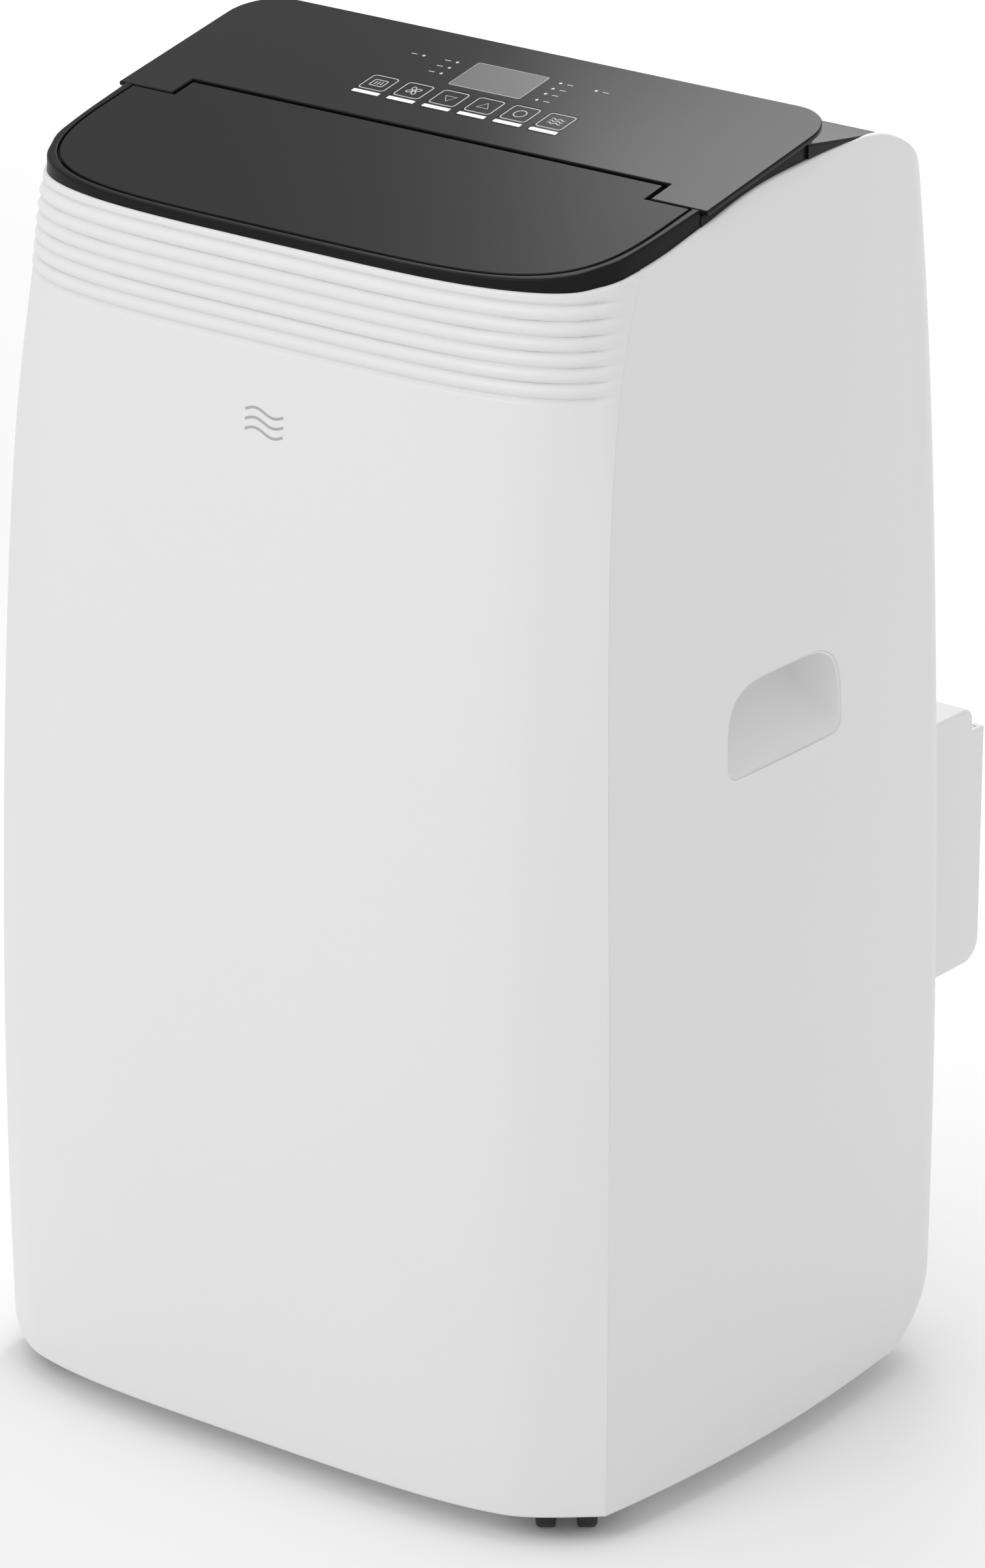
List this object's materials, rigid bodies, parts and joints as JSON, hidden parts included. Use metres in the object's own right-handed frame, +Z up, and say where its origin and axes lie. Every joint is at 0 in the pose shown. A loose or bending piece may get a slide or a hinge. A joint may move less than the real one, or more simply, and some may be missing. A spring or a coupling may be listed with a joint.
{
  "type": "portable air conditioner",
  "caption": "White portable air conditioner with a sloping black top, motor-driven outlet lid, touch keys, side grips, rear hose outlet and twin-wheel casters.",
  "frame": {"origin": "centre of the bounding box in plan, on the floor under the casters", "axes": "+Z up, front panel toward -Y, +X to the right seen from behind the front looking along +Y"},
  "size_m": [0.4496, 0.4494, 0.761],
  "materials": {
    "casing_white": "satin white",
    "trim_black": "satin black",
    "panel_gloss": "gloss black",
    "key_gloss": "gloss black",
    "display_grey": "clear grey window",
    "duct_black": "matt black",
    "caster_black": "satin black",
    "filter_mesh": "woven mesh",
    "foam_grey": "matt grey",
    "steel": "plated",
    "compressor_black": "semi-gloss black",
    "coil_aluminium": "bare fins",
    "board_green": "lacquered board",
    "rubber": "matt"
  },
  "bodies": {
    "casing": {"front_panel": "casing_white", "rear_shell": "casing_white", "handle_right": "casing_white", "handle_left": "casing_white", "top_cover": "trim_black", "control_panel": "panel_gloss", "display_window": "display_grey", "control_board": "board_green", "air_outlet_duct": "duct_black", "flap_motor": "steel", "exhaust_outlet": "casing_white", "base_tray": "casing_white", "evaporator_coil": "coil_aluminium", "condenser_coil": "coil_aluminium", "evaporator_scroll": "foam_grey", "condenser_scroll": "foam_grey", "evaporator_motor": "steel", "condenser_motor": "steel", "mid_deck": "foam_grey", "compressor": "compressor_black", "accumulator": "compressor_black", "slinger_motor": "steel", "electrical_box": "foam_grey", "cord_gland": "rubber"},
    "flap": {"air_flap": "trim_black"},
    "link": {"vane_link": "trim_black"},
    "adapter": {"hose_adapter": "casing_white"},
    "evap_fan": {"evaporator_fan": "duct_black"},
    "cond_fan": {"condenser_fan": "duct_black"},
    "slinger": {"slinger_wheel": "duct_black"},
    "upper_inlet": {"upper_grille": "casing_white"},
    "upper_screen": {"upper_filter": "filter_mesh"},
    "lower_inlet": {"lower_grille": "casing_white"},
    "lower_screen": {"lower_filter": "filter_mesh"},
    "plug_upper": {"upper_drain_plug": "rubber"},
    "plug_lower": {"lower_drain_plug": "rubber"},
    "vane_1_body": {"vane_1": "trim_black"},
    "vane_2_body": {"vane_2": "trim_black"},
    "vane_3_body": {"vane_3": "trim_black"},
    "vane_4_body": {"vane_4": "trim_black"},
    "vane_5_body": {"vane_5": "trim_black"},
    "key_timer_body": {"key_timer": "key_gloss"},
    "key_fan_speed_body": {"key_fan_speed": "key_gloss"},
    "key_down_body": {"key_down": "key_gloss"},
    "key_up_body": {"key_up": "key_gloss"},
    "key_mode_body": {"key_mode": "key_gloss"},
    "key_power_body": {"key_power": "key_gloss"},
    "fork_fr": {"caster_fork_fr": "caster_black"},
    "wheels_fr": {"caster_wheels_fr": "caster_black"},
    "fork_fl": {"caster_fork_fl": "caster_black"},
    "wheels_fl": {"caster_wheels_fl": "caster_black"},
    "fork_rr": {"caster_fork_rr": "caster_black"},
    "wheels_rr": {"caster_wheels_rr": "caster_black"},
    "fork_rl": {"caster_fork_rl": "caster_black"},
    "wheels_rl": {"caster_wheels_rl": "caster_black"}
  },
  "joints": [
    {"name": "flap_hinge", "type": "hinge", "parent": "casing", "child": "flap", "pos_m": [0, -0.07125, 0.73337], "axis": [-1, 0, 0], "range_deg": [0, 75]},
    {"name": "vane_1_swing", "type": "hinge", "parent": "casing", "child": "vane_1_body", "pos_m": [-0.124, -0.12825, 0.682], "axis": [0, 1, 0], "range_deg": [-28, 28]},
    {"name": "vane_2_swing", "type": "hinge", "parent": "casing", "child": "vane_2_body", "pos_m": [-0.062, -0.12825, 0.682], "axis": [0, 1, 0], "range_deg": [-28, 28]},
    {"name": "vane_3_swing", "type": "hinge", "parent": "casing", "child": "vane_3_body", "pos_m": [0, -0.12825, 0.682], "axis": [0, 1, 0], "range_deg": [-28, 28]},
    {"name": "vane_4_swing", "type": "hinge", "parent": "casing", "child": "vane_4_body", "pos_m": [0.062, -0.12825, 0.682], "axis": [0, 1, 0], "range_deg": [-28, 28]},
    {"name": "vane_5_swing", "type": "hinge", "parent": "casing", "child": "vane_5_body", "pos_m": [0.124, -0.12825, 0.682], "axis": [0, 1, 0], "range_deg": [-28, 28]},
    {"name": "link_swing", "type": "hinge", "parent": "vane_1_body", "child": "link", "pos_m": [-0.124, -0.13525, 0.66], "axis": [0, 1, 0], "range_deg": [-28, 28]},
    {"name": "key_timer_press", "type": "slide", "parent": "casing", "child": "key_timer_body", "axis": [0, 0.2005, -0.9797], "range_m": [0, 0.0008], "stiffness_N_per_m": 400, "springref_m": -0.002},
    {"name": "key_fan_speed_press", "type": "slide", "parent": "casing", "child": "key_fan_speed_body", "axis": [0, 0.2005, -0.9797], "range_m": [0, 0.0008], "stiffness_N_per_m": 400, "springref_m": -0.002},
    {"name": "key_down_press", "type": "slide", "parent": "casing", "child": "key_down_body", "axis": [0, 0.2005, -0.9797], "range_m": [0, 0.0008], "stiffness_N_per_m": 400, "springref_m": -0.002},
    {"name": "key_up_press", "type": "slide", "parent": "casing", "child": "key_up_body", "axis": [0, 0.2005, -0.9797], "range_m": [0, 0.0008], "stiffness_N_per_m": 400, "springref_m": -0.002},
    {"name": "key_mode_press", "type": "slide", "parent": "casing", "child": "key_mode_body", "axis": [0, 0.2005, -0.9797], "range_m": [0, 0.0008], "stiffness_N_per_m": 400, "springref_m": -0.002},
    {"name": "key_power_press", "type": "slide", "parent": "casing", "child": "key_power_body", "axis": [0, 0.2005, -0.9797], "range_m": [0, 0.0008], "stiffness_N_per_m": 400, "springref_m": -0.002},
    {"name": "upper_inlet_pull", "type": "slide", "parent": "casing", "child": "upper_inlet", "axis": [0, 1, 0], "range_m": [0, 0.05]},
    {"name": "upper_screen_pull", "type": "slide", "parent": "upper_inlet", "child": "upper_screen", "axis": [0, -1, 0], "range_m": [0, 0.0056]},
    {"name": "lower_inlet_pull", "type": "slide", "parent": "casing", "child": "lower_inlet", "axis": [0, 1, 0], "range_m": [0, 0.05]},
    {"name": "lower_screen_pull", "type": "slide", "parent": "lower_inlet", "child": "lower_screen", "axis": [0, -1, 0], "range_m": [0, 0.0056]},
    {"name": "adapter_lift", "type": "slide", "parent": "casing", "child": "adapter", "axis": [0, 0, 1], "range_m": [0, 0.145]},
    {"name": "evaporator_fan_spin", "type": "hinge", "parent": "casing", "child": "evap_fan", "pos_m": [0, 0.03675, 0.52], "axis": [0, 1, 0], "continuous": true},
    {"name": "condenser_fan_spin", "type": "hinge", "parent": "casing", "child": "cond_fan", "pos_m": [-0.044, 0.05675, 0.286], "axis": [0, 1, 0], "continuous": true},
    {"name": "slinger_spin", "type": "hinge", "parent": "casing", "child": "slinger", "pos_m": [0.07, 0.07475, 0.056], "axis": [0, 1, 0], "continuous": true},
    {"name": "upper_plug_pull", "type": "slide", "parent": "casing", "child": "plug_upper", "axis": [0, 1, 0], "range_m": [0, 0.03]},
    {"name": "lower_plug_pull", "type": "slide", "parent": "casing", "child": "plug_lower", "axis": [0, 1, 0], "range_m": [0, 0.03]},
    {"name": "caster_fr_swivel", "type": "hinge", "parent": "casing", "child": "fork_fr", "pos_m": [0.1762, -0.16375, 0.034], "axis": [0, 0, 1], "continuous": true},
    {"name": "caster_fr_roll", "type": "hinge", "parent": "fork_fr", "child": "wheels_fr", "pos_m": [0.18114, -0.17004, 0.0135], "axis": [0.7862, 0.618, 0], "continuous": true},
    {"name": "caster_fl_swivel", "type": "hinge", "parent": "casing", "child": "fork_fl", "pos_m": [-0.1762, -0.16375, 0.034], "axis": [0, 0, 1], "continuous": true},
    {"name": "caster_fl_roll", "type": "hinge", "parent": "fork_fl", "child": "wheels_fl", "pos_m": [-0.17126, -0.17004, 0.0135], "axis": [0.7862, 0.618, 0], "continuous": true},
    {"name": "caster_rr_swivel", "type": "hinge", "parent": "casing", "child": "fork_rr", "pos_m": [0.138, 0.07475, 0.034], "axis": [0, 0, 1], "continuous": true},
    {"name": "caster_rr_roll", "type": "hinge", "parent": "fork_rr", "child": "wheels_rr", "pos_m": [0.14294, 0.06846, 0.0135], "axis": [0.7862, 0.618, 0], "continuous": true},
    {"name": "caster_rl_swivel", "type": "hinge", "parent": "casing", "child": "fork_rl", "pos_m": [-0.138, 0.07475, 0.034], "axis": [0, 0, 1], "continuous": true},
    {"name": "caster_rl_roll", "type": "hinge", "parent": "fork_rl", "child": "wheels_rl", "pos_m": [-0.13306, 0.06846, 0.0135], "axis": [0.7862, 0.618, 0], "continuous": true}
  ],
  "couplings": [
    {"joint": "vane_2_swing", "follows": "vane_1_swing", "ratio": 1},
    {"joint": "vane_3_swing", "follows": "vane_1_swing", "ratio": 1},
    {"joint": "vane_4_swing", "follows": "vane_1_swing", "ratio": 1},
    {"joint": "vane_5_swing", "follows": "vane_1_swing", "ratio": 1},
    {"joint": "link_swing", "follows": "vane_1_swing", "ratio": -1}
  ]
}
